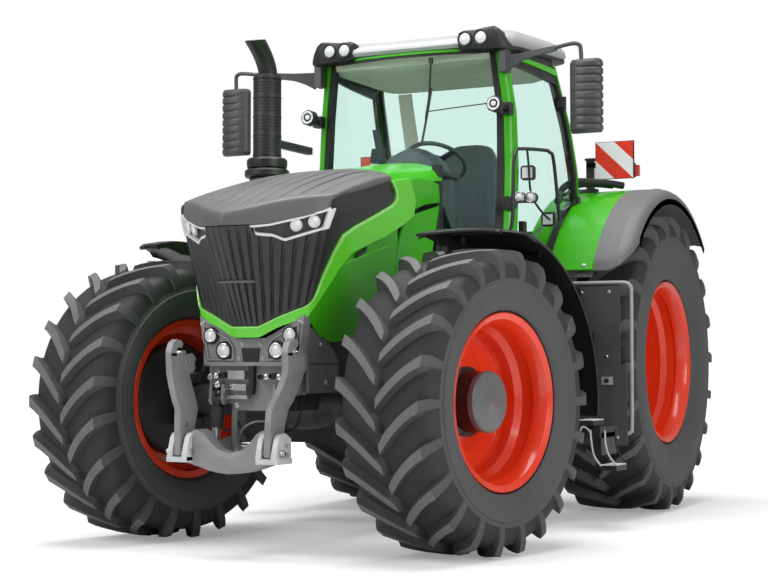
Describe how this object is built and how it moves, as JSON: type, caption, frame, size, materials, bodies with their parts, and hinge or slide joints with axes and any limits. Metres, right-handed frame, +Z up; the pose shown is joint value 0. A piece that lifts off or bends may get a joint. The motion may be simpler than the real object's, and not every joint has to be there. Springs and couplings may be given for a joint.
{
  "type": "farm tractor",
  "caption": "Large four-wheel-drive farm tractor with glazed cab, tall lugged tyres, swept bonnet and front and rear linkages.",
  "frame": {"origin": "ground level under the middle of the bounding box", "axes": "+X to the tractor's left, -Y forwards, +Z up"},
  "size_m": [3.1397, 5.97, 3.5248],
  "materials": {
    "tyre": "matte",
    "rim_paint": "gloss",
    "dark_metal": "satin",
    "cast_grey": "satin",
    "steel": "polished",
    "green_paint": "gloss",
    "dark_plastic": "matte",
    "grey_plastic": "matte",
    "roof_grey": "satin",
    "glass": "clear",
    "lamp_clear": "gloss",
    "lamp_red": "gloss",
    "board_white": "satin",
    "seat_cloth": "matte"
  },
  "bodies": {
    "chassis": {"access_steps": "dark_plastic", "bracket_lamps": "lamp_clear", "bulkhead": "dark_metal", "cab_floor": "grey_plastic", "cab_frame": "green_paint", "cab_glass": "glass", "cab_roof": "roof_grey", "console": "dark_plastic", "cooling_pack": "dark_metal", "dashboard": "dark_plastic", "engine": "dark_metal", "exhaust": "dark_plastic", "fender_extensions": "grey_plastic", "frame_rails": "dark_metal", "front_axle": "dark_metal", "front_bracket": "cast_grey", "fuel_tank": "dark_plastic", "gearbox": "dark_metal", "link_shafts": "dark_metal", "mirrors": "dark_plastic", "rear_axle": "dark_metal", "rear_fenders": "green_paint", "seat": "seat_cloth", "step_guard": "dark_plastic", "tail_lamps": "lamp_red", "tool_box": "dark_plastic", "top_link_bracket": "dark_metal", "tow_hitch": "dark_metal", "warning_boards": "board_white", "windscreen": "glass", "work_lamps": "dark_plastic"},
    "knuckle_left": {"knuckle_left": "dark_metal", "front_fender_left": "dark_plastic"},
    "knuckle_right": {"knuckle_right": "dark_metal", "front_fender_right": "dark_plastic"},
    "wheel_front_left": {"tyre_front_left": "tyre", "rim_front_left": "rim_paint"},
    "wheel_front_right": {"tyre_front_right": "tyre", "rim_front_right": "rim_paint"},
    "wheel_rear_left": {"tyre_rear_left": "tyre", "rim_rear_left": "rim_paint"},
    "wheel_rear_right": {"tyre_rear_right": "tyre", "rim_rear_right": "rim_paint"},
    "bonnet": {"bonnet": "green_paint", "bonnet_cover": "dark_plastic", "grille": "dark_plastic", "headlamps": "lamp_clear"},
    "cab_door": {"cab_door": "green_paint", "door_glass": "glass"},
    "steering_wheel": {"steering_wheel": "dark_plastic"},
    "front_lift": {"front_lift_frame": "cast_grey"},
    "front_lift_barrels": {"front_lift_barrels": "dark_metal"},
    "front_lift_rods": {"front_lift_rods": "steel"},
    "front_arm_left": {"front_arm_left": "cast_grey"},
    "front_arm_right": {"front_arm_right": "cast_grey"},
    "rear_lift_arms": {"rear_lift_arms": "dark_metal"},
    "rear_lift_rods": {"rear_lift_rods": "steel"},
    "rear_lower_links": {"rear_lower_links": "dark_metal"},
    "top_link": {"top_link": "steel"}
  },
  "joints": [
    {"name": "steering_left", "type": "hinge", "parent": "chassis", "child": "knuckle_left", "pos_m": [0.86, -2.007, 0.89], "axis": [0, 0, 1], "range_deg": [-21, 43]},
    {"name": "steering_right", "type": "hinge", "parent": "chassis", "child": "knuckle_right", "pos_m": [-0.86, -2.007, 0.89], "axis": [0, 0, 1], "range_deg": [-21, 43]},
    {"name": "spin_front_left", "type": "hinge", "parent": "knuckle_left", "child": "wheel_front_left", "pos_m": [1.08577, -2.05089, 0.89], "axis": [0.9816, -0.1908, 0], "continuous": true},
    {"name": "spin_front_right", "type": "hinge", "parent": "knuckle_right", "child": "wheel_front_right", "pos_m": [-1.08577, -1.96311, 0.89], "axis": [0.9816, -0.1908, 0], "continuous": true},
    {"name": "spin_rear_left", "type": "hinge", "parent": "chassis", "child": "wheel_rear_left", "pos_m": [0.996, 1.293, 1.125], "axis": [1, 0, 0], "continuous": true},
    {"name": "spin_rear_right", "type": "hinge", "parent": "chassis", "child": "wheel_rear_right", "pos_m": [-0.996, 1.293, 1.125], "axis": [1, 0, 0], "continuous": true},
    {"name": "bonnet_hinge", "type": "hinge", "parent": "chassis", "child": "bonnet", "pos_m": [0, -0.897, 2.36], "axis": [-1, 0, 0], "range_deg": [0, 45]},
    {"name": "door_hinge", "type": "hinge", "parent": "chassis", "child": "cab_door", "pos_m": [0.88, 0.618, 2.45], "axis": [0, 0, 1], "range_deg": [0, 60]},
    {"name": "steering_wheel_turn", "type": "hinge", "parent": "chassis", "child": "steering_wheel", "pos_m": [0, -0.19886, 2.36755], "axis": [0, 0.534, 0.8455], "continuous": true},
    {"name": "front_lift", "type": "hinge", "parent": "chassis", "child": "front_lift", "pos_m": [0, -2.577, 0.64], "axis": [1, 0, 0], "range_deg": [0, 20]},
    {"name": "front_lift_barrel_swing", "type": "hinge", "parent": "chassis", "child": "front_lift_barrels", "pos_m": [0, -2.662, 0.9], "axis": [1, 0, 0], "range_deg": [-12, 12]},
    {"name": "front_lift_rod_slide", "type": "slide", "parent": "front_lift_barrels", "child": "front_lift_rods", "axis": [0, -0.1483, -0.9889], "range_m": [-0.005, 0.06]},
    {"name": "front_arm_left", "type": "hinge", "parent": "front_lift", "child": "front_arm_left", "pos_m": [0.297, -2.932, 0.61], "axis": [1, 0, 0], "range_deg": [0, 95]},
    {"name": "front_arm_right", "type": "hinge", "parent": "front_lift", "child": "front_arm_right", "pos_m": [-0.297, -2.932, 0.61], "axis": [1, 0, 0], "range_deg": [0, 95]},
    {"name": "rear_lift", "type": "hinge", "parent": "chassis", "child": "rear_lift_arms", "pos_m": [0, 1.523, 1.4], "axis": [1, 0, 0], "range_deg": [-15, 25]},
    {"name": "rear_link_swing", "type": "hinge", "parent": "chassis", "child": "rear_lower_links", "pos_m": [0, 1.523, 0.76], "axis": [1, 0, 0], "range_deg": [-16, 26]},
    {"name": "rear_lift_rod_swing", "type": "hinge", "parent": "rear_lift_arms", "child": "rear_lift_rods", "pos_m": [0, 1.973, 1.4], "axis": [1, 0, 0], "range_deg": [-26, 16]},
    {"name": "top_link_swing", "type": "hinge", "parent": "chassis", "child": "top_link", "pos_m": [0, 1.773, 1.18], "axis": [1, 0, 0], "range_deg": [-15, 60]}
  ],
  "couplings": [
    {"joint": "steering_right", "follows": "steering_left", "ratio": 1},
    {"joint": "front_lift_barrel_swing", "follows": "front_lift", "ratio": 0.2302},
    {"joint": "front_lift_rod_slide", "follows": "front_lift", "m_per_rad": 0.11316},
    {"joint": "rear_link_swing", "follows": "rear_lift", "ratio": 1},
    {"joint": "rear_lift_rod_swing", "follows": "rear_lift", "ratio": -1}
  ]
}
